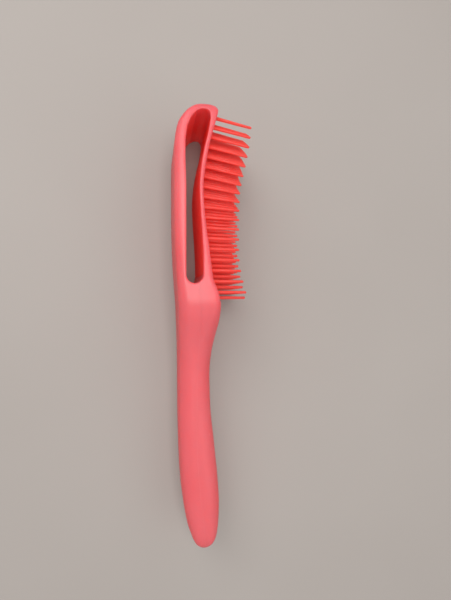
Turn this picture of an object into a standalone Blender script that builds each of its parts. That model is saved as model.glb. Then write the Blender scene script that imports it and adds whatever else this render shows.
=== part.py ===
"""Tunnel-vent hair brush, lying on its side.

The handle and the looped head are two hollow shells that close on each other along the middle
of the brush's thickness. The back shell carries the back arm and most of the bridge over the
top. The front shell carries two side rails. Nine curved pin strips span the window between the
rails, and their end tongues sit in pockets in the shoulder and in the bridge.

X runs from the flat back towards the pin tips, Y from the tail to the head, and Z across the
width. The brush stands on one side of its head, with the origin under the middle of its box.
"""

import math

import bmesh
import bpy
import numpy as np
from mathutils import Matrix, Vector

MM = 0.001

# Driving dimensions, in millimetres
LENGTH = 221.5              # tail to the top of the bridge
HEAD_WIDTH = 47.0
DEPTH = 37.63               # flat back to the furthest pin tips
WALL = 2.2                  # wall of the hollow handle
FIT_GAP = 0.3               # clearance between neighbouring pieces
OVERLAP = 1.0               # how far a cutter or a root reaches into its neighbour
SMOOTH_ANGLE = math.radians(50.0)

# Stations along the brush, measured from its tail
CAVITY = (6.5, 119.5)       # hollow of the handle
SHOULDER = 126.8            # front face of the shoulder, where the pin window starts
TUNNEL_END = 135.5          # rounded lower end of the tunnel
WINDOW_TOP = 217.4          # where the pin window ends, under the bridge
ARM_THICKNESS = 5.6         # back arm, flat back to tunnel
RAIL_WIDTH = 1.6            # side rail, measured across the brush

# Pin strips
STRIP_COUNT = 9
STRIP_PITCH = 4.9
STRIP_WIDTH = 3.2
TONGUE_THICKNESS = 1.7
LOWER_TONGUE = 4.0          # how far a strip reaches into the shoulder
UPPER_TONGUE = 1.6          # how far it reaches into the bridge

# Pins
PINS_PER_STRIP = 18
FIRST_PIN = 131.3           # along the brush; the strips between start half a pitch lower
PIN_PITCH = 5.27            # between the two lowest pins of a strip
PITCH_CLOSING = 0.043       # how much closer each next pin stands
PIN_BASE_RADIUS = 0.85
PIN_TIP_RADIUS = 0.6
PIN_SIDES = 8

# Locating pegs that join the two shells inside the handle
PEG_STATIONS = (32.0, 72.0, 110.0)
PEG_RADIUS = 1.6
SOCKET_RADIUS = 3.4
PEG_REACH = 3.0             # peg past the joint between the shells
SOCKET_DROP = 1.2           # socket's mouth behind that joint

# Side outline of the brush: (distance from the tail, distance from the flat back)
BACK_OUTLINE = [(0.0, 15.2), (0.6, 13.4), (3.0, 11.4), (7.5, 9.4), (13.0, 7.5), (23.0, 5.6),
                (34.0, 4.2), (50.0, 3.2), (75.0, 2.6), (105.0, 2.5), (122.0, 2.3), (132.0, 1.7),
                (142.0, 1.0), (152.0, 0.5), (162.0, 0.15), (172.0, 0.0), (200.0, 0.0), (206.0, 0.5),
                (212.0, 1.8), (217.0, 5.1), (220.0, 8.8), (221.5, 12.0)]
FRONT_OUTLINE = [(0.0, 17.4), (0.6, 19.0), (3.0, 21.1), (7.5, 22.7), (14.0, 23.5), (23.0, 23.7),
                 (34.0, 23.1), (54.0, 21.1), (75.0, 19.0), (91.0, 18.6), (101.0, 19.3),
                 (110.0, 20.8), (118.0, 22.2), (124.0, 22.5), (129.0, 22.0), (133.0, 20.5),
                 (138.0, 18.5), (146.0, 17.4), (153.0, 16.6), (160.0, 15.5), (174.0, 14.1),
                 (181.5, 13.8), (190.0, 14.7), (200.0, 16.4), (208.0, 18.4), (215.0, 20.4),
                 (217.5, 21.0), (219.3, 20.3), (220.6, 18.2), (221.5, 14.6)]
HALF_WIDTH = [(0.0, 3.4), (0.6, 5.2), (3.0, 7.6), (7.5, 9.4), (14.0, 10.4), (30.0, 11.2),
              (70.0, 11.8), (92.0, 12.8), (103.0, 15.0), (113.0, 19.2), (121.0, 22.4),
              (128.0, 23.5), (212.0, 23.5), (217.0, 23.3), (219.5, 22.6), (221.0, 21.2),
              (221.5, 19.6)]
BACK_CORNER = [(0.0, 3.0), (14.0, 7.2), (95.0, 7.4), (112.0, 6.6), (126.0, 5.0), (138.0, 3.8),
               (212.0, 3.8), (221.5, 2.0)]
FRONT_CORNER = [(0.0, 3.0), (14.0, 7.2), (95.0, 7.4), (112.0, 6.6), (122.0, 4.2), (130.0, 2.2),
                (138.0, 1.6), (170.0, 1.4), (221.5, 1.4)]

# Front of the pin bed along its middle and along its outer strips, the back of the strips, and
# the surface that the pin tips lie on
BED_MIDDLE = [(126.8, 22.3), (131.5, 21.8), (134.5, 21.0), (137.5, 20.3), (141.0, 19.8),
              (147.0, 19.0), (152.0, 17.7), (158.0, 16.2), (165.0, 15.1), (174.0, 14.3),
              (181.5, 14.0), (190.0, 14.8), (200.0, 16.6), (208.0, 18.4), (217.5, 20.6)]
BED_EDGE = [(126.8, 18.4), (137.0, 17.2), (142.5, 16.9), (148.0, 16.5), (153.0, 16.1),
            (158.0, 15.4), (165.0, 14.6), (174.0, 13.9), (181.5, 13.7), (190.0, 14.4),
            (200.0, 16.2), (208.0, 18.0), (217.5, 20.2)]
STRIP_BACK = [(122.0, 17.2), (130.0, 15.8), (136.0, 14.0), (146.0, 13.6), (160.0, 13.0),
              (170.0, 12.3), (181.5, 11.9), (190.0, 12.5), (200.0, 14.2), (208.0, 16.1),
              (214.0, 17.0), (217.0, 17.3), (221.0, 17.4)]
TUNNEL_FRONT = [(136.0, 13.6), (146.0, 13.6), (160.0, 13.0), (170.0, 12.3), (181.5, 11.9),
                (190.0, 12.5), (200.0, 14.2), (208.0, 16.1), (214.0, 17.0)]
PIN_TIPS = [(128.0, 35.4), (131.0, 35.0), (134.0, 34.2), (142.5, 32.3), (149.0, 31.5),
            (158.0, 31.4), (170.0, 31.5), (181.5, 31.9), (190.0, 33.2), (200.0, 35.4),
            (208.0, 36.8), (216.0, 37.6)]

# Lean of the pins towards the tail, as a slope that grows from the shoulder to the top
PIN_LEAN = [(126.0, 0.0), (152.0, 0.02), (162.0, 0.035), (172.0, 0.08), (182.0, 0.155),
            (191.0, 0.21), (218.0, 0.21)]

# Where the two shells meet, which follows the curve of the tail and crosses the bridge
PARTING = [(-10.0, 16.3), (0.0, 16.3), (14.0, 15.4), (30.0, 13.4), (60.0, 11.6), (90.0, 11.8),
           (118.0, 12.8), (136.0, 11.4), (150.0, 10.8), (240.0, 10.8)]

CORAL = (0.80, 0.155, 0.165, 1.0)
DEEP_CORAL = (0.76, 0.11, 0.11, 1.0)


def on_curve(knots, station):
    """Value of the smooth curve through the knots, which never overshoots between them."""
    xs = np.array([knot[0] for knot in knots])
    ys = np.array([knot[1] for knot in knots])
    steps = np.diff(xs)
    slopes = np.diff(ys) / steps
    tangents = np.zeros(len(xs))
    tangents[0], tangents[-1] = slopes[0], slopes[-1]
    for i in range(1, len(xs) - 1):
        if slopes[i - 1] * slopes[i] > 0.0:
            near, far = steps[i] + 2 * steps[i - 1], 2 * steps[i] + steps[i - 1]
            tangents[i] = (near + far) / (near / slopes[i - 1] + far / slopes[i])
    i = int(np.clip(np.searchsorted(xs, station) - 1, 0, len(steps) - 1))
    t = min(max((station - xs[i]) / steps[i], 0.0), 1.0)
    return (ys[i] * (2 * t**3 - 3 * t**2 + 1) + ys[i + 1] * (3 * t**2 - 2 * t**3)
            + steps[i] * (tangents[i] * (t**3 - 2 * t**2 + t) + tangents[i + 1] * (t**3 - t**2)))


def place(depth, station, across):
    """World point from millimetres: from the flat back, from the tail, from the middle plane."""
    return ((depth - DEPTH / 2) * MM, (station - LENGTH / 2) * MM, (across + HEAD_WIDTH / 2) * MM)


def material(name, colour, roughness):
    made = bpy.data.materials.new(name)
    made.use_nodes = True
    shader = made.node_tree.nodes["Principled BSDF"]
    shader.inputs["Base Color"].default_value = colour
    shader.inputs["Roughness"].default_value = roughness
    shader.inputs["Metallic"].default_value = 0.0
    made.diffuse_color = colour
    return made


def new_object(name, mesh, collection):
    made = bpy.data.objects.new(name, mesh)
    collection.objects.link(made)
    return made


def object_from(bm, name, collection):
    """Object made of a bmesh, with its faces turned outward."""
    bmesh.ops.recalc_face_normals(bm, faces=bm.faces)
    mesh = bpy.data.meshes.new(name)
    bm.to_mesh(mesh)
    bm.free()
    return new_object(name, mesh, collection)


def skin(bm, rings):
    """Closed body through rings of the same number of points."""
    rings = [[bm.verts.new(point) for point in ring] for ring in rings]
    for ring, following in zip(rings, rings[1:]):
        for i in range(len(ring)):
            j = (i + 1) % len(ring)
            bm.faces.new((ring[i], ring[j], following[j], following[i]))
    bm.faces.new(rings[0])
    bm.faces.new(reversed(rings[-1]))


def section(station, inset, corner_steps):
    """Rounded rectangle across the brush at a station, as (depth, across) pairs."""
    low = on_curve(BACK_OUTLINE, station) + inset
    high = on_curve(FRONT_OUTLINE, station) - inset
    half = on_curve(HALF_WIDTH, station) - inset
    largest = min(0.49 * (high - low), 0.98 * half)
    front = min(max(on_curve(FRONT_CORNER, station) - inset, 0.6), largest)
    back = min(max(on_curve(BACK_CORNER, station) - inset, 0.6), largest)
    corners = [(high - front, half - front, front, 0.0), (low + back, half - back, back, 90.0),
               (low + back, back - half, back, 180.0), (high - front, front - half, front, 270.0)]
    points = []
    for depth, across, radius, start in corners:
        for step in range(corner_steps + 1):
            angle = math.radians(start + 90.0 * step / corner_steps)
            points.append((depth + radius * math.cos(angle), across + radius * math.sin(angle)))
    return points


def loft(name, stations, inset, corner_steps, collection):
    """Closed body through the brush's sections, shrunk by the inset."""
    bm = bmesh.new()
    skin(bm, [[place(depth, station, across)
               for depth, across in section(station, inset, corner_steps)]
              for station in stations])
    return object_from(bm, name, collection)


def profile_prism(name, outline, half_width, collection, across=0.0):
    """Side outline of (depth, station) points, extruded equally both ways across the brush."""
    curve = bpy.data.curves.new(name, "CURVE")
    curve.dimensions = "2D"
    curve.fill_mode = "BOTH"
    curve.extrude = half_width * MM
    spline = curve.splines.new("POLY")
    spline.points.add(len(outline) - 1)
    for point, (depth, station) in zip(spline.points, outline):
        x, y, _ = place(depth, station, 0.0)
        point.co = (x, y, 0.0, 1.0)
    spline.use_cyclic_u = True
    holder = new_object(name + "_outline", curve, collection)
    holder.location.z = (HEAD_WIDTH / 2 + across) * MM
    bpy.context.view_layer.update()
    evaluated = holder.evaluated_get(bpy.context.evaluated_depsgraph_get())
    mesh = bpy.data.meshes.new_from_object(evaluated)
    bm = bmesh.new()
    bm.from_mesh(mesh)
    bmesh.ops.remove_doubles(bm, verts=bm.verts, dist=1e-7)
    solid = object_from(bm, name, collection)
    solid.matrix_world = holder.matrix_world
    bpy.data.objects.remove(holder)
    return solid


def cylinder_along_depth(name, radius, depth_from, depth_to, station, collection):
    """Round post that runs from the back towards the front of the brush."""
    bm = bmesh.new()
    bmesh.ops.create_cone(bm, cap_ends=True, segments=14, radius1=radius * MM,
                          radius2=radius * MM, depth=(depth_to - depth_from) * MM)
    post = object_from(bm, name, collection)
    post.location = place((depth_from + depth_to) / 2, station, 0.0)
    post.rotation_euler = (0.0, math.radians(90.0), 0.0)
    return post


def apply_boolean(target, tool, operation):
    modifier = target.modifiers.new(tool.name, "BOOLEAN")
    modifier.operation = operation
    modifier.object = tool


def hide_tool(tool):
    tool.hide_render = True
    tool.display_type = "WIRE"


def smooth(piece):
    """Smooth shading over rounded faces, with crisp edges kept."""
    piece.data.shade_smooth()
    piece.data.set_sharp_from_angle(angle=SMOOTH_ANGLE)


def body_stations():
    """Sections closer together where the outline turns: both ends and the shoulder."""
    return np.concatenate([[0.0, 0.6, 1.6, 3.0, 5.0, 7.5, 10.5, 14.0, 19.0],
                           np.linspace(26.0, 96.0, 11), np.linspace(102.0, 150.0, 15),
                           np.linspace(156.0, 204.0, 8),
                           [208.0, 211.0, 213.5, 216.0, 218.0, 219.5, 220.5, 221.1, 221.5]])


def parting_cutter(name, side, collection):
    """Everything in front of (side 1) or behind (side -1) the parting surface."""
    beyond = DEPTH / 2 + side * DEPTH
    stations = [-10.0, 4.0, 14.0, 22.0, 30.0, 45.0, 60.0, 80.0, 100.0, 118.0, 127.0, 136.0,
                150.0, 234.0]
    edge = [(on_curve(PARTING, station) - side * FIT_GAP / 2, station) for station in stations]
    return profile_prism(name, edge + [(beyond, stations[-1]), (beyond, stations[0])],
                         HEAD_WIDTH, collection)


def tunnel_outline():
    """Side outline of the tunnel: straight back wall, arched top, curved front, round end."""
    arch = [(ARM_THICKNESS, 180.0), (5.2, 196.0), (5.2, 203.0), (6.0, 209.5), (7.9, 214.0),
            (10.4, 216.9), (13.2, 218.2), (15.4, 218.0), (16.7, 216.6)]
    front = [(on_curve(TUNNEL_FRONT, station), station)
             for station in (214.0, 208.0, 202.0, 196.0, 190.0, 184.0, 178.0, 170.0, 160.0, 148.0)]
    radius = (on_curve(TUNNEL_FRONT, TUNNEL_END) - ARM_THICKNESS) / 2
    middle = ARM_THICKNESS + radius
    end = []
    for step in range(9):
        angle = math.radians(-180.0 * step / 8)
        end.append((middle + radius * math.cos(angle),
                    TUNNEL_END + radius + radius * math.sin(angle)))
    return arch + front + end


def bed_front(station, across):
    """Front of the pin bed, which is crowned: it falls away towards its outer strips."""
    outermost = (STRIP_COUNT - 1) / 2 * STRIP_PITCH
    fall = on_curve(BED_MIDDLE, station) - on_curve(BED_EDGE, station)
    return on_curve(BED_MIDDLE, station) - fall * (abs(across) / outermost) ** 4


def window_outline():
    """Side outline of the opening between the rails, from just behind the strips outward."""
    stations = np.linspace(SHOULDER, WINDOW_TOP, 18)
    back = [(on_curve(STRIP_BACK, station) - FIT_GAP, station) for station in stations]
    return back + [(DEPTH, WINDOW_TOP), (DEPTH, SHOULDER)]


def tongue_pockets(collection):
    """Pockets for the strips' tongues, at both ends of the window, in one cutter."""
    whole = bmesh.new()
    for across in strip_centres():
        for low, high in ((SHOULDER - LOWER_TONGUE - FIT_GAP, SHOULDER + OVERLAP),
                          (WINDOW_TOP - OVERLAP, WINDOW_TOP + UPPER_TONGUE + FIT_GAP)):
            back = [(on_curve(STRIP_BACK, station) - FIT_GAP, station) for station in (low, high)]
            front = [(depth + TONGUE_THICKNESS + 2 * FIT_GAP, station) for depth, station in back]
            half = STRIP_WIDTH / 2 + FIT_GAP
            skin(whole, [[place(depth, station, across + side)
                          for depth, station in (back[0], back[1], front[1], front[0])]
                         for side in (-half, half)])
    return object_from(whole, "tongue_pocket_cut", collection)


def strip_centres():
    middle = (STRIP_COUNT - 1) / 2
    return [(index - middle) * STRIP_PITCH for index in range(STRIP_COUNT)]


def strip_outline(across):
    """Side outline of a strip: its curved bed, its flat back and a tongue at each end."""
    low, high = SHOULDER - LOWER_TONGUE, WINDOW_TOP + UPPER_TONGUE
    bed_low, bed_high = SHOULDER + FIT_GAP, WINDOW_TOP - FIT_GAP
    outline = [(on_curve(STRIP_BACK, station) + TONGUE_THICKNESS, station)
               for station in (low, bed_low)]
    outline += [(bed_front(station, across), station)
                for station in np.linspace(bed_low, bed_high, 18)]
    outline += [(on_curve(STRIP_BACK, station) + TONGUE_THICKNESS, station)
                for station in (bed_high, high)]
    outline += [(on_curve(STRIP_BACK, station), station) for station in np.linspace(high, low, 15)]
    return outline


def pin_station(place_in_row):
    """Where a pin stands along the brush, counted in pins from the lowest of an outer strip."""
    return FIRST_PIN + place_in_row * (PIN_PITCH - PITCH_CLOSING * (place_in_row - 1) / 2)


def build_pin(bm, station, across):
    """Tapered pin from inside the strip to the surface that all tips share."""
    bed = bed_front(station, across)
    reach = on_curve(PIN_TIPS, station) - bed
    root = Vector(place(bed, station, across))
    pin = Vector(place(bed + reach, station - on_curve(PIN_LEAN, station) * reach, across)) - root
    sunk = pin.normalized() * OVERLAP * MM
    turn = pin.to_track_quat("Z", "Y").to_matrix().to_4x4()
    bmesh.ops.create_cone(bm, cap_ends=True, segments=PIN_SIDES, radius1=PIN_BASE_RADIUS * MM,
                          radius2=PIN_TIP_RADIUS * MM, depth=(pin + sunk).length,
                          matrix=Matrix.Translation(root + (pin - sunk) / 2) @ turn)


def pin_strip(name, across, shift, finish, collection, tools):
    """Curved base with two tongues, joined to its row of pins."""
    strip = profile_prism(name, strip_outline(across), STRIP_WIDTH / 2, collection, across)
    bm = bmesh.new()
    for index in range(PINS_PER_STRIP):
        build_pin(bm, pin_station(index - shift), across)
    pins = object_from(bm, name + "_pins", tools)
    apply_boolean(strip, pins, "UNION")
    hide_tool(pins)
    smooth(strip)
    smooth(pins)
    strip.data.materials.append(finish)


def join_shells(back_shell, front_shell, tools):
    """Pegs on the back shell, which enter sockets on the front shell."""
    for number, station in enumerate(PEG_STATIONS, start=1):
        back = on_curve(BACK_OUTLINE, station) + WALL / 2
        front = on_curve(FRONT_OUTLINE, station) - WALL / 2
        seam = on_curve(PARTING, station)
        peg_end, seat = seam + PEG_REACH, seam - SOCKET_DROP
        shapes = [("peg", PEG_RADIUS, back, peg_end, back_shell, "UNION"),
                  ("peg_foot", SOCKET_RADIUS, back, seat - FIT_GAP, back_shell, "UNION"),
                  ("socket", SOCKET_RADIUS, seat, front, front_shell, "UNION"),
                  ("socket_bore", PEG_RADIUS + FIT_GAP, seat - OVERLAP, peg_end + FIT_GAP,
                   front_shell, "DIFFERENCE")]
        for name, radius, low, high, target, operation in shapes:
            tool = cylinder_along_depth("%s_%d" % (name, number), radius, low, high, station, tools)
            apply_boolean(target, tool, operation)
            hide_tool(tool)


def build_shells(finish, parts, tools):
    cavity = loft("handle_hollow", np.linspace(CAVITY[0], CAVITY[1], 14), WALL, 3, tools)
    tunnel = profile_prism("tunnel_cut", tunnel_outline(), HEAD_WIDTH, tools)
    window = profile_prism("window_cut", window_outline(), HEAD_WIDTH / 2 - RAIL_WIDTH, tools)
    pockets = tongue_pockets(tools)
    behind = parting_cutter("behind_parting", -1, tools)
    ahead = parting_cutter("ahead_of_parting", 1, tools)
    back_shell = loft("back_shell", body_stations(), 0.0, 4, parts)
    front_shell = loft("front_shell", body_stations(), 0.0, 4, parts)
    for shell, cuts in ((back_shell, (ahead, tunnel, cavity)),
                        (front_shell, (behind, tunnel, cavity, window, pockets))):
        for tool in cuts:
            apply_boolean(shell, tool, "DIFFERENCE")
        shell.data.materials.append(finish)
        smooth(shell)
    for tool in (cavity, tunnel, window, pockets, behind, ahead):
        hide_tool(tool)
    join_shells(back_shell, front_shell, tools)


def build():
    for existing in list(bpy.data.objects):
        bpy.data.objects.remove(existing, do_unlink=True)
    parts = bpy.data.collections.new("tunnel_vent_brush")
    tools = bpy.data.collections.new("cutters")
    for collection in (parts, tools):
        bpy.context.scene.collection.children.link(collection)
    build_shells(material("coral_plastic", CORAL, 0.38), parts, tools)
    pin_plastic = material("pin_plastic", DEEP_CORAL, 0.34)
    for number, across in enumerate(strip_centres(), start=1):
        shift = 0.5 if number % 2 == 0 else 0.0
        pin_strip("pin_strip_%d" % number, across, shift, pin_plastic, parts, tools)


build()
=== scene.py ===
"""Looks of the tunnel-vent hair brush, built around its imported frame."""

import math

import bmesh
import bpy
import numpy as np
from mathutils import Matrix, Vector


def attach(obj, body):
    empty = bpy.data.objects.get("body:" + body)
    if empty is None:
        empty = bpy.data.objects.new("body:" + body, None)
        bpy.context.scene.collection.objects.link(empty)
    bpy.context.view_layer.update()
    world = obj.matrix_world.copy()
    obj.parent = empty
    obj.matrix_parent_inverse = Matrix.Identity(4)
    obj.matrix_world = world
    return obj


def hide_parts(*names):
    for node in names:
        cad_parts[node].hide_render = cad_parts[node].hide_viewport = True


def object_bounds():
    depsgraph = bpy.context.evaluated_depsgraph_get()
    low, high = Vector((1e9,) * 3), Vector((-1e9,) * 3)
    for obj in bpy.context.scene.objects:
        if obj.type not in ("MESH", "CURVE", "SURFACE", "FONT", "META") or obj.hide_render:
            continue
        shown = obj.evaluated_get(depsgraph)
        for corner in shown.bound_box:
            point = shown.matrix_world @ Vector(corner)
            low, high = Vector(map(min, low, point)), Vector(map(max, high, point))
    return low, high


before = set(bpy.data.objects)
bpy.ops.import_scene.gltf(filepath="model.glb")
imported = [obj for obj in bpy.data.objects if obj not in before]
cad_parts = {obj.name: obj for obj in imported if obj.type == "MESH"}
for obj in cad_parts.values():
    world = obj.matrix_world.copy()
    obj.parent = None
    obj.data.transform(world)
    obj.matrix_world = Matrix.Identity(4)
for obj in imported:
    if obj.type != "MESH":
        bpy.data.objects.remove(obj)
cad_low, cad_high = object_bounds()

MM = 0.001
DEPTH = (cad_high.x - cad_low.x) / MM
HEAD_WIDTH = (cad_high.z - cad_low.z) / MM

# Shells, in millimetres
WALL = 2.2
SEAM = 0.03                 # what is left open along the joints between pieces
VOXEL = 0.42                # grain of the remesh that rounds every moulded edge
ROUNDING_PASSES = 5         # smoothing passes that follow it
SHELL_CREASE = 55.0         # in degrees: sharper edges stay sharp in the shading
LEAST_CORNER = 0.6          # smallest corner radius of a section
BODY_CORNER_STEPS = 10
HOLLOW_CORNER_STEPS = 8
SHOULDER = 126.8            # lower end of the window that the strips stand in
WINDOW_TOP = 217.4
TUNNEL_END = 135.5          # lower end of the tunnel
CAVITY = (6.5, 119.5)       # where the hollow in the handle starts and ends
ARM_THICKNESS = 5.6
RAIL_WIDTH = 1.6
FIT_GAP = 0.3               # room past the end of a strip's tongue
POCKET_OVERLAP = 1.0        # how far the tool for a pocket reaches into the window

# Pin strips, in millimetres
STRIP_PITCH = 4.9
STRIP_WIDTH = 3.2
STRIP_CORNER = 0.35
STRIP_CREASE = 50.0         # in degrees
BED_STEPS = 64              # sections along the bed
CROWN_POWER = 4             # keeps the bed nearly flat until its outer strips
TONGUE_THICKNESS = 1.7
LOWER_TONGUE = 4.0
UPPER_TONGUE = 1.6
PINS_PER_STRIP = 18
FIRST_PIN = 131.3           # the strips between start half a pitch lower
PIN_PITCH = 5.27            # between the two lowest pins of a strip
PITCH_CLOSING = 0.043       # how much closer each next pin stands
PIN_BASE_RADIUS = 0.85
PIN_TIP_RADIUS = 0.6
PIN_FILLET = 0.45           # flare where a pin grows out of its strip
PIN_ROOT = 0.9              # how far a pin's foot is sunk into its strip
PIN_SIDES = 14
CURVE_STEPS = 4             # steps in a pin's flare and in its round tip
TIP_ARC = 85.0              # in degrees, so that the tip ends in a small flat
FLARE_POWER = 0.8           # makes the flare hug the bed

# Side outline of the brush: (station from the tail, depth from the flat back)
BACK_OUTLINE = [(0.0, 15.2), (0.6, 13.4), (3.0, 11.4), (7.5, 9.4), (13.0, 7.5), (23.0, 5.6),
                (34.0, 4.2), (50.0, 3.2), (75.0, 2.6), (105.0, 2.5), (122.0, 2.3), (132.0, 1.7),
                (142.0, 1.0), (152.0, 0.5), (162.0, 0.15), (172.0, 0.0), (200.0, 0.0), (206.0, 0.5),
                (212.0, 1.8), (217.0, 5.1), (220.0, 8.8), (221.5, 12.0)]
FRONT_OUTLINE = [(0.0, 17.4), (0.6, 19.0), (3.0, 21.1), (7.5, 22.7), (14.0, 23.5), (23.0, 23.7),
                 (34.0, 23.1), (54.0, 21.1), (75.0, 19.0), (91.0, 18.6), (101.0, 19.3),
                 (110.0, 20.8), (118.0, 22.2), (124.0, 22.5), (129.0, 22.0), (133.0, 20.5),
                 (138.0, 18.5), (146.0, 17.4), (153.0, 16.6), (160.0, 15.5), (174.0, 14.1),
                 (181.5, 13.8), (190.0, 14.7), (200.0, 16.4), (208.0, 18.4), (215.0, 20.4),
                 (217.5, 21.0), (219.3, 20.3), (220.6, 18.2), (221.5, 14.6)]

# Its sections: (station, half width), and (station, radius) of the corners behind and in front
HALF_WIDTH = [(0.0, 3.4), (0.6, 5.2), (3.0, 7.6), (7.5, 9.4), (14.0, 10.4), (30.0, 11.2),
              (70.0, 11.8), (92.0, 12.8), (103.0, 15.0), (113.0, 19.2), (121.0, 22.4),
              (128.0, 23.5), (212.0, 23.5), (217.0, 23.3), (219.5, 22.6), (221.0, 21.2),
              (221.5, 19.6)]
BACK_CORNER = [(0.0, 3.0), (14.0, 7.2), (95.0, 7.4), (112.0, 6.6), (126.0, 5.0), (138.0, 3.8),
               (212.0, 3.8), (221.5, 2.0)]
FRONT_CORNER = [(0.0, 3.0), (14.0, 7.2), (95.0, 7.4), (112.0, 6.6), (122.0, 4.2), (130.0, 2.2),
                (138.0, 1.6), (170.0, 1.4), (221.5, 1.4)]

# Stations of its sections, which crowd together towards both rounded ends
BODY_STATIONS = np.concatenate([
    [0.0, 0.15, 0.35, 0.6, 1.0, 1.6, 2.3, 3.0, 4.0, 5.0, 6.2, 7.5],
    np.linspace(9.0, 204.0, 131),
    [205.5, 207.0, 208.5, 210.0, 211.5, 213.0, 214.2, 215.3, 216.2, 217.0,
     217.8, 218.5, 219.1, 219.6, 220.1, 220.5, 220.8, 221.1, 221.35, 221.5]])

# Pin strips as (station, depth): the front of the bed along its middle and along its outer
# strips, and the back of every strip
BED_MIDDLE = [(126.8, 22.3), (131.5, 21.8), (134.5, 21.0), (137.5, 20.3), (141.0, 19.8),
              (147.0, 19.0), (152.0, 17.7), (158.0, 16.2), (165.0, 15.1), (174.0, 14.3),
              (181.5, 14.0), (190.0, 14.8), (200.0, 16.6), (208.0, 18.4), (217.5, 20.6)]
BED_EDGE = [(126.8, 18.4), (137.0, 17.2), (142.5, 16.9), (148.0, 16.5), (153.0, 16.1),
            (158.0, 15.4), (165.0, 14.6), (174.0, 13.9), (181.5, 13.7), (190.0, 14.4),
            (200.0, 16.2), (208.0, 18.0), (217.5, 20.2)]
STRIP_BACK = [(122.0, 17.2), (130.0, 15.8), (136.0, 14.0), (146.0, 13.6), (160.0, 13.0),
              (170.0, 12.3), (181.5, 11.9), (190.0, 12.5), (200.0, 14.2), (208.0, 16.1),
              (214.0, 17.0), (217.0, 17.3), (221.0, 17.4)]

# Tunnel: its front wall as (station, depth), the stations it is drawn between, and the arch
# over its top as (depth, station)
TUNNEL_FRONT = [(136.0, 13.6), (146.0, 13.6), (160.0, 13.0), (170.0, 12.3), (181.5, 11.9),
                (190.0, 12.5), (200.0, 14.2), (208.0, 16.1), (214.0, 17.0)]
TUNNEL_FRONT_SPAN = (214.0, 145.0)
TUNNEL_ARCH = [(ARM_THICKNESS, 180.0), (5.2, 196.0), (5.2, 203.0), (6.0, 209.5), (7.9, 214.0),
               (10.4, 216.9), (13.2, 218.2), (15.4, 218.0), (16.7, 216.6)]

# Surface that all pin tips share, as (station, depth)
PIN_TIPS = [(128.0, 35.4), (131.0, 35.0), (134.0, 34.2), (142.5, 32.3), (149.0, 31.5),
            (158.0, 31.4), (170.0, 31.5), (181.5, 31.9), (190.0, 33.2), (200.0, 35.4),
            (208.0, 36.8), (216.0, 37.6)]

# Lean of the pins towards the tail, as a slope
PIN_LEAN = [(126.0, 0.0), (152.0, 0.02), (162.0, 0.035), (172.0, 0.08), (182.0, 0.155),
            (191.0, 0.21), (218.0, 0.21)]

# Joint between the two shells, as (station, depth)
PARTING = [(-10.0, 16.3), (0.0, 16.3), (14.0, 15.4), (30.0, 13.4), (60.0, 11.6), (90.0, 11.8),
           (118.0, 12.8), (136.0, 11.4), (150.0, 10.8), (240.0, 10.8)]
PARTING_SPAN = (-8.0, 230.0)    # the part of it that is used, past both ends of the brush

# Plastics: the plain tone, a deeper one and a lighter one
SHELL_TONES = ((0.84, 0.185, 0.215, 1.0), (0.78, 0.15, 0.175, 1.0), (0.90, 0.29, 0.325, 1.0))
PIN_TONES = ((0.90, 0.115, 0.095, 1.0), (0.86, 0.08, 0.065, 1.0), (0.93, 0.17, 0.15, 1.0))
PASSED_LIGHT = (1.0, 0.18, 0.13, 1.0)       # colour of light that comes through the plastic
SCATTER_WEIGHT = 0.45
SCATTER_RADIUS = (1.0, 0.25, 0.20)
SCATTER_SCALE = 0.003
PLASTIC_IOR = 1.49

# Stage: sizes and places in metres, and softboxes as name, place, size, power, colour
FLOOR_REACH = 3.0
FLOOR_TONES = ((0.29, 0.262, 0.243, 1.0), (0.33, 0.302, 0.282, 1.0))
SOFTBOXES = (("window_light", (-0.35, 0.5, 0.75), (0.5, 0.7), 4.2, (1.0, 0.985, 0.97)),
             ("overhead_light", (-0.01, 0.10, 0.95), (0.3, 0.5), 4.6, (1.0, 0.98, 0.96)),
             ("fill_light", (0.55, -0.2, 0.8), (0.8, 0.8), 1.4, (1.0, 0.97, 0.95)))
SURROUND_COLOUR = (1.0, 0.99, 0.98, 1.0)
SURROUND_STRENGTH = 0.6

# Camera: target, lens and sensor in millimetres, distance in metres, lean in degrees
CAMERA_TARGET = (27.8, 127.5, 0.0)          # depth, station and across
CAMERA_LENS = 27.0
CAMERA_SENSOR = 36.0
CAMERA_DISTANCE = 0.2375
CAMERA_LEAN = 9.0                           # off the vertical, towards the flat back


# ---------------------------------------------------------------- shape helpers

def on_curve(knots, station):
    """Value at a station of the smooth curve through the knots, which never overshoots them."""
    xs = np.array([knot[0] for knot in knots])
    ys = np.array([knot[1] for knot in knots])
    steps = np.diff(xs)
    slopes = np.diff(ys) / steps
    tangents = np.zeros(len(xs))
    tangents[0], tangents[-1] = slopes[0], slopes[-1]
    for i in range(1, len(xs) - 1):
        if slopes[i - 1] * slopes[i] > 0.0:
            near, far = steps[i] + 2 * steps[i - 1], 2 * steps[i] + steps[i - 1]
            tangents[i] = (near + far) / (near / slopes[i - 1] + far / slopes[i])
    i = int(np.clip(np.searchsorted(xs, station) - 1, 0, len(steps) - 1))
    t = min(max((station - xs[i]) / steps[i], 0.0), 1.0)
    return (ys[i] * (2 * t**3 - 3 * t**2 + 1) + ys[i + 1] * (3 * t**2 - 2 * t**3)
            + steps[i] * (tangents[i] * (t**3 - 2 * t**2 + t) + tangents[i + 1] * (t**3 - t**2)))


def place(depth, station, across):
    """World point from millimetres: from the flat back, from the tail, from the middle plane."""
    return Vector((cad_low.x + depth * MM, cad_low.y + station * MM,
                   cad_low.z + (across + HEAD_WIDTH / 2) * MM))


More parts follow.
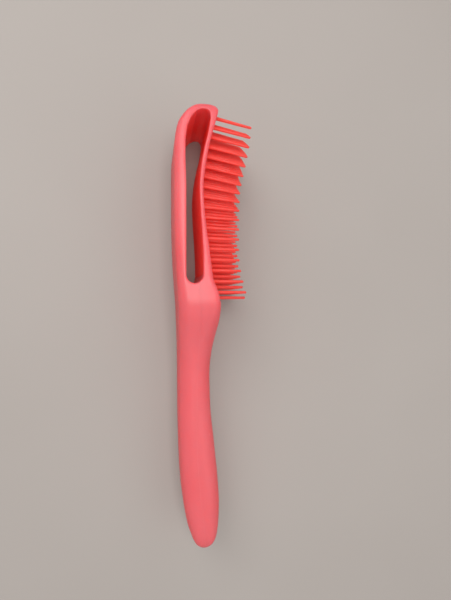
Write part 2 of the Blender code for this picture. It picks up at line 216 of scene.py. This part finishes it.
def object_from(bm, name):
    """Linked object from a bmesh, with its faces turned outward."""
    bmesh.ops.recalc_face_normals(bm, faces=bm.faces)
    mesh = bpy.data.meshes.new(name)
    bm.to_mesh(mesh)
    bm.free()
    made = bpy.data.objects.new(name, mesh)
    bpy.context.scene.collection.objects.link(made)
    return made


def skin(bm, rings):
    """Joins rings of points into a closed body."""
    rings = [[bm.verts.new(point) for point in ring] for ring in rings]
    for ring, following in zip(rings, rings[1:]):
        for i in range(len(ring)):
            j = (i + 1) % len(ring)
            bm.faces.new((ring[i], ring[j], following[j], following[i]))
    bm.faces.new(rings[0])
    bm.faces.new(reversed(rings[-1]))


def rounded_section(low, high, half_width, back_radius, front_radius, corner_steps):
    """Rounded rectangle across the brush, as (depth, across) pairs.

    No corner takes up more than half of a side, so neighbouring corners never meet.
    """
    largest = min(0.49 * (high - low), 0.98 * half_width)
    front, back = min(front_radius, largest), min(back_radius, largest)
    corners = [(high - front, half_width - front, front, 0.0),
               (low + back, half_width - back, back, 90.0),
               (low + back, back - half_width, back, 180.0),
               (high - front, front - half_width, front, 270.0)]
    points = []
    for depth, across, radius, start in corners:
        for step in range(corner_steps + 1):
            angle = math.radians(start + 90.0 * step / corner_steps)
            points.append((depth + radius * math.cos(angle), across + radius * math.sin(angle)))
    return points


def body_loft(name, stations, inset, corner_steps):
    """The brush's outer form, or its hollow, as a body lofted through its sections."""
    rings = []
    for station in stations:
        outline = rounded_section(on_curve(BACK_OUTLINE, station) + inset,
                                  on_curve(FRONT_OUTLINE, station) - inset,
                                  on_curve(HALF_WIDTH, station) - inset,
                                  max(on_curve(BACK_CORNER, station) - inset, LEAST_CORNER),
                                  max(on_curve(FRONT_CORNER, station) - inset, LEAST_CORNER),
                                  corner_steps)
        rings.append([place(depth, station, across) for depth, across in outline])
    bm = bmesh.new()
    skin(bm, rings)
    return object_from(bm, name)


def prism(name, outline, half_width):
    """Side outline of (depth, station) points, extruded equally both ways across the brush."""
    bm = bmesh.new()
    skin(bm, [[place(depth, station, across) for depth, station in outline]
              for across in (-half_width, half_width)])
    return object_from(bm, name)


def settle(piece):
    """Replaces the piece's mesh with what its modifiers make of it."""
    evaluated = piece.evaluated_get(bpy.context.evaluated_depsgraph_get())
    mesh = bpy.data.meshes.new_from_object(evaluated)
    piece.modifiers.clear()
    piece.data = mesh


def carve(piece, tools, operation="DIFFERENCE"):
    """Boolean with each tool in turn."""
    for tool in tools:
        modifier = piece.modifiers.new(tool.name, "BOOLEAN")
        modifier.operation = operation
        modifier.object = tool
        settle(piece)


def discard(*tools):
    """Removes objects that have done their work."""
    for tool in tools:
        bpy.data.objects.remove(tool)


def mould(piece):
    """Even skin with every edge slightly rounded, as it comes out of a mould."""
    remesh = piece.modifiers.new("skin", "REMESH")
    remesh.mode = "VOXEL"
    remesh.voxel_size = VOXEL * MM
    settle(piece)
    smooth = piece.modifiers.new("round", "SMOOTH")
    smooth.factor = 0.5
    smooth.iterations = ROUNDING_PASSES
    settle(piece)
    piece.data.shade_smooth()


# ---------------------------------------------------------------- shells

def parting_side(name, side):
    """Everything in front of (side 1) or behind (side -1) the joint between the shells."""
    beyond = DEPTH / 2 + side * DEPTH
    stations = np.linspace(*PARTING_SPAN, 60)
    edge = [(on_curve(PARTING, station) - side * SEAM / 2, station) for station in stations]
    return prism(name, edge + [(beyond, stations[-1]), (beyond, stations[0])], HEAD_WIDTH)


def tunnel_outline():
    """Straight back wall, arched top, curved front wall and round lower end."""
    front = [(on_curve(TUNNEL_FRONT, station), station)
             for station in np.linspace(*TUNNEL_FRONT_SPAN, 34)]
    radius = (on_curve(TUNNEL_FRONT, TUNNEL_END) - ARM_THICKNESS) / 2
    middle = ARM_THICKNESS + radius
    end = []
    for step in range(21):
        angle = math.pi * step / 20
        end.append((middle + radius * math.cos(angle),
                    TUNNEL_END + radius - radius * math.sin(angle)))
    return TUNNEL_ARCH + front + end


def window_outline():
    """Side outline of the opening between the rails, from just behind the strips outward."""
    stations = np.linspace(SHOULDER, WINDOW_TOP, 50)
    back = [(on_curve(STRIP_BACK, station) - SEAM, station) for station in stations]
    return back + [(DEPTH, WINDOW_TOP), (DEPTH, SHOULDER)]


def tongue_pockets():
    """Pockets for the strips' tongues, at both ends of the window."""
    bm = bmesh.new()
    for across in strip_centres():
        for low, high in ((SHOULDER - LOWER_TONGUE - FIT_GAP, SHOULDER + POCKET_OVERLAP),
                          (WINDOW_TOP - POCKET_OVERLAP, WINDOW_TOP + UPPER_TONGUE + FIT_GAP)):
            back = [(on_curve(STRIP_BACK, station) - SEAM, station) for station in (low, high)]
            front = [(depth + TONGUE_THICKNESS + 2 * SEAM, station) for depth, station in back]
            half = STRIP_WIDTH / 2 + SEAM
            skin(bm, [[place(depth, station, across + side)
                       for depth, station in (back[0], back[1], front[1], front[0])]
                      for side in (-half, half)])
    return object_from(bm, "pockets")


def build_shells():
    """Hollow body with its openings, rounded as one moulding and then parted into two shells."""
    cavity = body_loft("hollow", np.linspace(*CAVITY, 60), WALL, HOLLOW_CORNER_STEPS)
    tunnel = prism("tunnel", tunnel_outline(), HEAD_WIDTH)
    window = prism("window", window_outline(), HEAD_WIDTH / 2 - RAIL_WIDTH)
    pockets = tongue_pockets()
    behind, ahead = parting_side("behind", -1), parting_side("ahead", 1)
    body = body_loft("body", BODY_STATIONS, 0.0, BODY_CORNER_STEPS)
    carve(body, (tunnel, cavity, window, pockets))
    mould(body)
    shells = []
    for node, other_side in (("back_shell", ahead), ("front_shell", behind)):
        shell = body.copy()
        shell.name = node + "_moulding"
        bpy.context.scene.collection.objects.link(shell)
        carve(shell, (other_side,))
        shell.data.shade_smooth()
        shell.data.set_sharp_from_angle(angle=math.radians(SHELL_CREASE))
        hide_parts(node)
        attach(shell, "root")
        shells.append(shell)
    discard(body, cavity, tunnel, window, pockets, behind, ahead)
    return shells


# ---------------------------------------------------------------- pin strips

def strip_nodes():
    """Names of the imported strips, from the side on the floor upward."""
    return sorted(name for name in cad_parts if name.startswith("pin_strip_"))


def strip_centres():
    """Where each strip stands across the brush."""
    middle = (len(strip_nodes()) - 1) / 2
    return [(index - middle) * STRIP_PITCH for index in range(len(strip_nodes()))]


def bed_front(station, across):
    """Front of the pin bed, which is crowned: it falls away towards its outer strips."""
    fall = on_curve(BED_MIDDLE, station) - on_curve(BED_EDGE, station)
    outward = abs(across) / strip_centres()[-1]
    return on_curve(BED_MIDDLE, station) - fall * outward ** CROWN_POWER


def pin_profile(length):
    """(distance from the bed, radius) down a pin: sunk root, flared foot, taper and round tip."""
    profile = [(-PIN_ROOT, PIN_BASE_RADIUS + PIN_FILLET)]
    for step in range(CURVE_STEPS + 1):
        angle = math.radians(90.0 * step / CURVE_STEPS)
        profile.append((PIN_FILLET * (1 - math.cos(angle)) ** FLARE_POWER,
                        PIN_BASE_RADIUS + PIN_FILLET * (1 - math.sin(angle))))
    shoulder = length - PIN_TIP_RADIUS
    for share in (0.33, 0.66):
        profile.append((shoulder * share,
                        PIN_BASE_RADIUS + (PIN_TIP_RADIUS - PIN_BASE_RADIUS) * share))
    for step in range(CURVE_STEPS + 1):
        angle = math.radians(TIP_ARC * step / CURVE_STEPS)
        profile.append((shoulder + PIN_TIP_RADIUS * math.sin(angle),
                        PIN_TIP_RADIUS * math.cos(angle)))
    return profile


def pin_station(place_in_row):
    """Where a pin stands along the brush, counted in pins from the lowest of an outer strip.

    The row closes up by the same amount from each pin to the next.
    """
    return FIRST_PIN + place_in_row * (PIN_PITCH - PITCH_CLOSING * (place_in_row - 1) / 2)


def add_pin(bm, station, across):
    """Pin from the bed to the surface that all tips share."""
    root = bed_front(station, across)
    reach = on_curve(PIN_TIPS, station) - root
    along = -on_curve(PIN_LEAN, station)
    length = reach * math.hypot(1.0, along)
    out, along = reach / length, along * reach / length
    rings = []
    for distance, radius in pin_profile(length):
        ring = []
        for side in range(PIN_SIDES):
            angle = 2 * math.pi * side / PIN_SIDES
            lift, swing = radius * math.cos(angle), radius * math.sin(angle)
            ring.append(place(root + out * distance - along * lift,
                              station + along * distance + out * lift, across + swing))
        rings.append(ring)
    skin(bm, rings)


def strip_base(name, across):
    """Curved rib with rounded edges, and a thinner tongue at each end."""
    low, high = SHOULDER - LOWER_TONGUE, WINDOW_TOP + UPPER_TONGUE
    bed = np.linspace(SHOULDER + SEAM, WINDOW_TOP - SEAM, BED_STEPS)
    fronts = [(low, TONGUE_THICKNESS), (bed[0] - SEAM, TONGUE_THICKNESS)]
    fronts += [(station, bed_front(station, across) - on_curve(STRIP_BACK, station))
               for station in bed]
    fronts += [(bed[-1] + SEAM, TONGUE_THICKNESS), (high, TONGUE_THICKNESS)]
    rings = []
    for station, thickness in fronts:
        back = on_curve(STRIP_BACK, station)
        outline = rounded_section(back, back + thickness, STRIP_WIDTH / 2,
                                  STRIP_CORNER, STRIP_CORNER, 3)
        rings.append([place(depth, station, across + swing) for depth, swing in outline])
    bm = bmesh.new()
    skin(bm, rings)
    return object_from(bm, name)


def build_strips():
    """Strips with their pins. Every other one is shifted by half a pitch."""
    strips = []
    for index, (node, across) in enumerate(zip(strip_nodes(), strip_centres())):
        shift = 0.5 if index % 2 == 1 else 0.0
        strip = strip_base(node + "_moulding", across)
        bm = bmesh.new()
        for number in range(PINS_PER_STRIP):
            add_pin(bm, pin_station(number - shift), across)
        pins = object_from(bm, "pins")
        carve(strip, (pins,), "UNION")
        discard(pins)
        strip.data.shade_smooth()
        strip.data.set_sharp_from_angle(angle=math.radians(STRIP_CREASE))
        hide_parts(node)
        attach(strip, "root")
        strips.append(strip)
    return strips


# ---------------------------------------------------------------- materials

class Nodes:
    """Short way to write a material's node tree."""

    def __init__(self, material):
        material.use_nodes = True
        self.tree = material.node_tree
        self.tree.nodes.clear()

    def add(self, kind, **settings):
        node = self.tree.nodes.new("ShaderNode" + kind)
        for name, value in settings.items():
            setattr(node, name, value)
        return node

    def link(self, source, target):
        self.tree.links.new(source, target)

    def noise(self, coordinates, scale, detail=2.0, roughness=0.5):
        """Cloudy pattern between 0 and 1."""
        node = self.add("TexNoise")
        node.inputs["Scale"].default_value = scale
        node.inputs["Detail"].default_value = detail
        node.inputs["Roughness"].default_value = roughness
        self.link(coordinates, node.inputs["Vector"])
        return node.outputs["Fac"]

    def spread(self, value, low, high, to_low=0.0, to_high=1.0):
        """Value stretched from one range to another, and held at its ends."""
        node = self.add("MapRange")
        for name, number in (("From Min", low), ("From Max", high),
                             ("To Min", to_low), ("To Max", to_high)):
            node.inputs[name].default_value = number
        self.link(value, node.inputs["Value"])
        return node.outputs["Result"]

    def mix(self, factor, first, second):
        """Colour between two others, each a constant or a socket."""
        node = self.add("Mix", data_type="RGBA")
        self.link(factor, node.inputs["Factor"])
        for socket, colour in ((node.inputs["A"], first), (node.inputs["B"], second)):
            if isinstance(colour, tuple):
                socket.default_value = colour
            else:
                self.link(colour, socket)
        return node.outputs["Result"]

    def bump(self, height, strength, distance, normal=None):
        """Normal tilted by a pattern, on top of another where one is given."""
        node = self.add("Bump")
        node.inputs["Strength"].default_value = strength
        node.inputs["Distance"].default_value = distance
        self.link(height, node.inputs["Height"])
        if normal is not None:
            self.link(normal, node.inputs["Normal"])
        return node.outputs["Normal"]


def moulded_plastic(name, tones, roughness, grain, see_through):
    """Injection-moulded plastic: flow marks, a fine mould grain, faint scuffs and a painted
    highlight along its convex edges.

    Some light scatters under its surface, and see_through is the share that comes through it.
    """
    colour, deep, light = tones
    material = bpy.data.materials.new(name)
    nodes = Nodes(material)
    where = nodes.add("TexCoord").outputs["Object"]
    along = nodes.add("Mapping")
    along.inputs["Scale"].default_value = (1.0, 0.22, 1.0)
    nodes.link(where, along.inputs["Vector"])
    flow = nodes.noise(along.outputs["Vector"], 70.0, 5.0, 0.55)
    cloud = nodes.noise(where, 24.0, 3.0, 0.5)
    fine = nodes.noise(where, grain, 3.0, 0.6)
    scuff_place = nodes.add("Mapping")
    scuff_place.inputs["Rotation"].default_value = (0.3, 0.2, 0.5)
    scuff_place.inputs["Scale"].default_value = (1.0, 0.03, 1.0)
    nodes.link(where, scuff_place.inputs["Vector"])
    scratches = nodes.noise(scuff_place.outputs["Vector"], 1500.0, 4.0, 0.7)
    scuffs = nodes.spread(scratches, 0.62, 0.74)

    tint = nodes.mix(nodes.spread(flow, 0.35, 0.68), colour, deep)
    tint = nodes.mix(nodes.spread(cloud, 0.30, 0.75, 0.0, 0.35), tint, light)
    # Painted highlight: convex edges (high pointiness) get up to 45% of the lighter tone, standing
    # in for the light that the rims catch
    painted_edge_highlight = nodes.spread(nodes.add("NewGeometry").outputs["Pointiness"], 0.53, 0.62, 0.0, 0.45)
    tint = nodes.mix(painted_edge_highlight, tint, light)
    tint = nodes.mix(nodes.spread(scuffs, 0.0, 1.0, 0.0, 0.05), tint, light)

    surface = nodes.spread(fine, 0.3, 0.7, roughness - 0.05, roughness + 0.06)
    rough = nodes.add("Math", operation="MULTIPLY_ADD")
    nodes.link(scuffs, rough.inputs[0])
    rough.inputs[1].default_value = 0.12
    nodes.link(surface, rough.inputs[2])

    normal = nodes.bump(cloud, 0.25, 0.0006)
    normal = nodes.bump(flow, 0.12, 0.0002, normal)
    normal = nodes.bump(fine, 0.22, 0.00006, normal)
    normal = nodes.bump(scuffs, 0.05, 0.00004, normal)

    shader = nodes.add("BsdfPrincipled")
    shader.inputs["IOR"].default_value = PLASTIC_IOR
    shader.inputs["Subsurface Weight"].default_value = SCATTER_WEIGHT
    shader.inputs["Subsurface Radius"].default_value = SCATTER_RADIUS
    shader.inputs["Subsurface Scale"].default_value = SCATTER_SCALE
    nodes.link(tint, shader.inputs["Base Color"])
    nodes.link(rough.outputs["Value"], shader.inputs["Roughness"])
    nodes.link(normal, shader.inputs["Normal"])
    glow = nodes.add("BsdfTranslucent")
    glow.inputs["Color"].default_value = PASSED_LIGHT
    nodes.link(normal, glow.inputs["Normal"])
    blend = nodes.add("MixShader")
    blend.inputs["Fac"].default_value = see_through
    nodes.link(shader.outputs["BSDF"], blend.inputs[1])
    nodes.link(glow.outputs["BSDF"], blend.inputs[2])
    nodes.link(blend.outputs["Shader"], nodes.add("OutputMaterial").inputs["Surface"])
    return material


def paint(pieces, material):
    """Gives every piece the one material."""
    for piece in pieces:
        piece.data.materials.clear()
        piece.data.materials.append(material)


# ---------------------------------------------------------------- stage

def build_stage():
    """Plain matt floor under the brush."""
    bm = bmesh.new()
    bmesh.ops.create_grid(bm, x_segments=1, y_segments=1, size=FLOOR_REACH)
    floor = object_from(bm, "floor")
    floor.location.z = cad_low.z
    material = bpy.data.materials.new("pale_floor")
    nodes = Nodes(material)
    where = nodes.add("TexCoord").outputs["Object"]
    tone = nodes.mix(nodes.noise(where, 6.0, 3.0), *FLOOR_TONES)
    shader = nodes.add("BsdfPrincipled")
    shader.inputs["Roughness"].default_value = 0.7
    nodes.link(tone, shader.inputs["Base Color"])
    nodes.link(shader.outputs["BSDF"], nodes.add("OutputMaterial").inputs["Surface"])
    paint([floor], material)


def add_softbox(name, location, target, size, power, colour):
    """Rectangular light turned to face the target."""
    data = bpy.data.lights.new(name, "AREA")
    data.shape = "RECTANGLE"
    data.size, data.size_y = size
    data.energy = power
    data.color = colour
    light = bpy.data.objects.new(name, data)
    bpy.context.scene.collection.objects.link(light)
    light.location = location
    light.rotation_euler = (Vector(target) - Vector(location)).to_track_quat("-Z", "Y").to_euler()


def build_lights():
    """Softboxes, and an even pale surround that fills the shadows."""
    centre = (cad_low + cad_high) / 2
    for name, location, size, power, colour in SOFTBOXES:
        add_softbox(name, location, centre, size, power, colour)
    world = bpy.data.worlds.new("studio")
    world.use_nodes = True
    background = world.node_tree.nodes["Background"]
    background.inputs["Color"].default_value = SURROUND_COLOUR
    background.inputs["Strength"].default_value = SURROUND_STRENGTH
    bpy.context.scene.world = world
    bpy.context.scene.view_settings.view_transform = "Standard"


def build_camera():
    """Almost straight above the brush, leaning a little towards its flat back."""
    lean = math.radians(CAMERA_LEAN)
    data = bpy.data.cameras.new("camera")
    data.lens = CAMERA_LENS
    data.sensor_width = CAMERA_SENSOR
    data.clip_start = 0.01
    camera = bpy.data.objects.new("camera", data)
    bpy.context.scene.collection.objects.link(camera)
    backward = Vector((-math.sin(lean), 0.0, math.cos(lean)))
    camera.location = place(*CAMERA_TARGET) + CAMERA_DISTANCE * backward
    camera.rotation_euler = (0.0, -lean, 0.0)
    bpy.context.scene.camera = camera


shell_plastic = moulded_plastic("coral_shell_plastic", SHELL_TONES,
                                roughness=0.31, grain=2600.0, see_through=0.46)
pin_plastic = moulded_plastic("coral_pin_plastic", PIN_TONES,
                              roughness=0.28, grain=3200.0, see_through=0.55)
paint(build_shells(), shell_plastic)
paint(build_strips(), pin_plastic)
build_stage()
build_lights()
build_camera()
